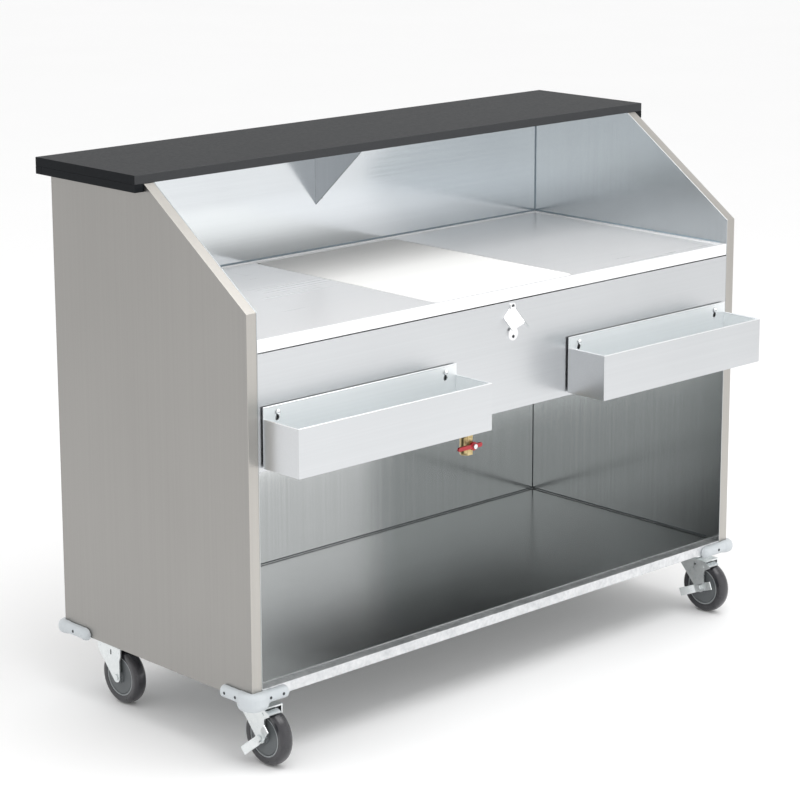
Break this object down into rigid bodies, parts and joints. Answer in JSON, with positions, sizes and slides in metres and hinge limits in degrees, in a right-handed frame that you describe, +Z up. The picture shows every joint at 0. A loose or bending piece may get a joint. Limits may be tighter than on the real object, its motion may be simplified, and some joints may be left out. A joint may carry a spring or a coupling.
{
  "type": "portable bar",
  "caption": "Portable stainless-steel service bar with a raised guest counter, ice bin under a cutting board, hanging bottle rails, open storage shelf and braked swivel casters.",
  "frame": {"origin": "bottom centre of the bounding box, on the floor under the casters", "axes": "+X runs along the bar to the right as the bartender sees it, -Y faces the bartender, +Y faces the guests, +Z is up"},
  "size_m": [1.572, 0.784, 1.219],
  "materials": {
    "stainless_steel": "satin",
    "zinc_plate": "satin",
    "counter_laminate": "satin",
    "white_polyethylene": "matte",
    "insulation_foam": "matte",
    "brass": "satin",
    "red_vinyl": "gloss",
    "bumper_plastic": "satin",
    "wheel_hub_plastic": "satin",
    "wheel_tread": "matte"
  },
  "bodies": {
    "body": {"side_panel_left": "stainless_steel", "side_panel_right": "stainless_steel", "side_liner_left": "stainless_steel", "side_liner_right": "stainless_steel", "back_panel": "stainless_steel", "back_liner": "stainless_steel", "base_rail_front": "stainless_steel", "base_rail_rear": "stainless_steel", "base_rail_left": "stainless_steel", "base_rail_right": "stainless_steel", "bottom_shelf": "stainless_steel", "work_deck": "stainless_steel", "apron_panel": "stainless_steel", "ice_bin_tub": "stainless_steel", "ice_bin_jacket": "stainless_steel", "counter_gusset": "stainless_steel", "bottle_opener": "zinc_plate", "ice_bin_insulation": "insulation_foam", "drain_nipple": "brass", "valve_body": "brass", "bar_top": "counter_laminate", "bar_top_edge_left": "counter_laminate", "bar_top_edge_right": "counter_laminate", "bar_top_edge_rear": "counter_laminate", "bumper_front_left": "bumper_plastic", "bumper_front_right": "bumper_plastic", "bumper_rear_left": "bumper_plastic", "bumper_rear_right": "bumper_plastic", "caster_front_left_plate": "zinc_plate", "caster_front_right_plate": "zinc_plate", "caster_rear_left_plate": "zinc_plate", "caster_rear_right_plate": "zinc_plate"},
    "cutting_board": {"cutting_board": "white_polyethylene"},
    "bottle_rail_left": {"bottle_rail_left": "stainless_steel"},
    "bottle_rail_right": {"bottle_rail_right": "stainless_steel"},
    "valve_handle": {"valve_handle": "red_vinyl", "valve_stem": "zinc_plate", "valve_ball": "stainless_steel"},
    "swivel_front_left": {"caster_front_left_fork": "zinc_plate", "caster_front_left_axle": "zinc_plate"},
    "wheel_front_left": {"caster_front_left_hub": "wheel_hub_plastic", "caster_front_left_tyre": "wheel_tread"},
    "swivel_front_right": {"caster_front_right_fork": "zinc_plate", "caster_front_right_axle": "zinc_plate"},
    "wheel_front_right": {"caster_front_right_hub": "wheel_hub_plastic", "caster_front_right_tyre": "wheel_tread"},
    "swivel_rear_left": {"caster_rear_left_fork": "zinc_plate", "caster_rear_left_axle": "zinc_plate"},
    "wheel_rear_left": {"caster_rear_left_hub": "wheel_hub_plastic", "caster_rear_left_tyre": "wheel_tread"},
    "swivel_rear_right": {"caster_rear_right_fork": "zinc_plate", "caster_rear_right_axle": "zinc_plate"},
    "wheel_rear_right": {"caster_rear_right_hub": "wheel_hub_plastic", "caster_rear_right_tyre": "wheel_tread"},
    "brake_lever_front_left": {"caster_front_left_brake_lever": "zinc_plate"},
    "brake_shoe_front_left": {"caster_front_left_brake_shoe": "zinc_plate"},
    "brake_lever_front_right": {"caster_front_right_brake_lever": "zinc_plate"},
    "brake_shoe_front_right": {"caster_front_right_brake_shoe": "zinc_plate"}
  },
  "joints": [
    {"name": "cutting_board_lift", "type": "slide", "parent": "body", "child": "cutting_board", "axis": [0, 0, 1], "range_m": [0, 0.1]},
    {"name": "bottle_rail_left_lift", "type": "slide", "parent": "body", "child": "bottle_rail_left", "axis": [0, 0, 1], "range_m": [0, 0.0127]},
    {"name": "bottle_rail_right_lift", "type": "slide", "parent": "body", "child": "bottle_rail_right", "axis": [0, 0, 1], "range_m": [0, 0.0127]},
    {"name": "valve_turn", "type": "hinge", "parent": "body", "child": "valve_handle", "pos_m": [0, -0.135, 0.533], "axis": [0, 1, 0], "range_deg": [0, 90]},
    {"name": "swivel_front_left_turn", "type": "hinge", "parent": "body", "child": "swivel_front_left", "pos_m": [-0.706, -0.226, 0.136], "axis": [0, 0, 1], "continuous": true},
    {"name": "wheel_front_left_roll", "type": "hinge", "parent": "swivel_front_left", "child": "wheel_front_left", "pos_m": [-0.706, -0.264, 0.0635], "axis": [1, 0, 0], "continuous": true},
    {"name": "swivel_front_right_turn", "type": "hinge", "parent": "body", "child": "swivel_front_right", "pos_m": [0.706, -0.226, 0.136], "axis": [0, 0, 1], "continuous": true},
    {"name": "wheel_front_right_roll", "type": "hinge", "parent": "swivel_front_right", "child": "wheel_front_right", "pos_m": [0.706, -0.264, 0.0635], "axis": [1, 0, 0], "continuous": true},
    {"name": "swivel_rear_left_turn", "type": "hinge", "parent": "body", "child": "swivel_rear_left", "pos_m": [-0.706, 0.268, 0.136], "axis": [0, 0, 1], "continuous": true},
    {"name": "wheel_rear_left_roll", "type": "hinge", "parent": "swivel_rear_left", "child": "wheel_rear_left", "pos_m": [-0.706, 0.23, 0.0635], "axis": [1, 0, 0], "continuous": true},
    {"name": "swivel_rear_right_turn", "type": "hinge", "parent": "body", "child": "swivel_rear_right", "pos_m": [0.706, 0.268, 0.136], "axis": [0, 0, 1], "continuous": true},
    {"name": "wheel_rear_right_roll", "type": "hinge", "parent": "swivel_rear_right", "child": "wheel_rear_right", "pos_m": [0.706, 0.23, 0.0635], "axis": [1, 0, 0], "continuous": true},
    {"name": "brake_lever_front_left_press", "type": "hinge", "parent": "swivel_front_left", "child": "brake_lever_front_left", "pos_m": [-0.706, -0.264, 0.0635], "axis": [1, 0, 0], "range_deg": [0, 21]},
    {"name": "brake_shoe_front_left_tilt", "type": "hinge", "parent": "swivel_front_left", "child": "brake_shoe_front_left", "pos_m": [-0.706, -0.275, 0.119], "axis": [1, 0, 0], "range_deg": [-2.5, 0]},
    {"name": "brake_lever_front_right_press", "type": "hinge", "parent": "swivel_front_right", "child": "brake_lever_front_right", "pos_m": [0.706, -0.264, 0.0635], "axis": [1, 0, 0], "range_deg": [-21, 0]},
    {"name": "brake_shoe_front_right_tilt", "type": "hinge", "parent": "swivel_front_right", "child": "brake_shoe_front_right", "pos_m": [0.706, -0.275, 0.119], "axis": [1, 0, 0], "range_deg": [0, 2.5]}
  ],
  "couplings": [
    {"joint": "brake_shoe_front_left_tilt", "follows": "brake_lever_front_left_press", "ratio": -0.119},
    {"joint": "brake_shoe_front_right_tilt", "follows": "brake_lever_front_right_press", "ratio": -0.119}
  ]
}
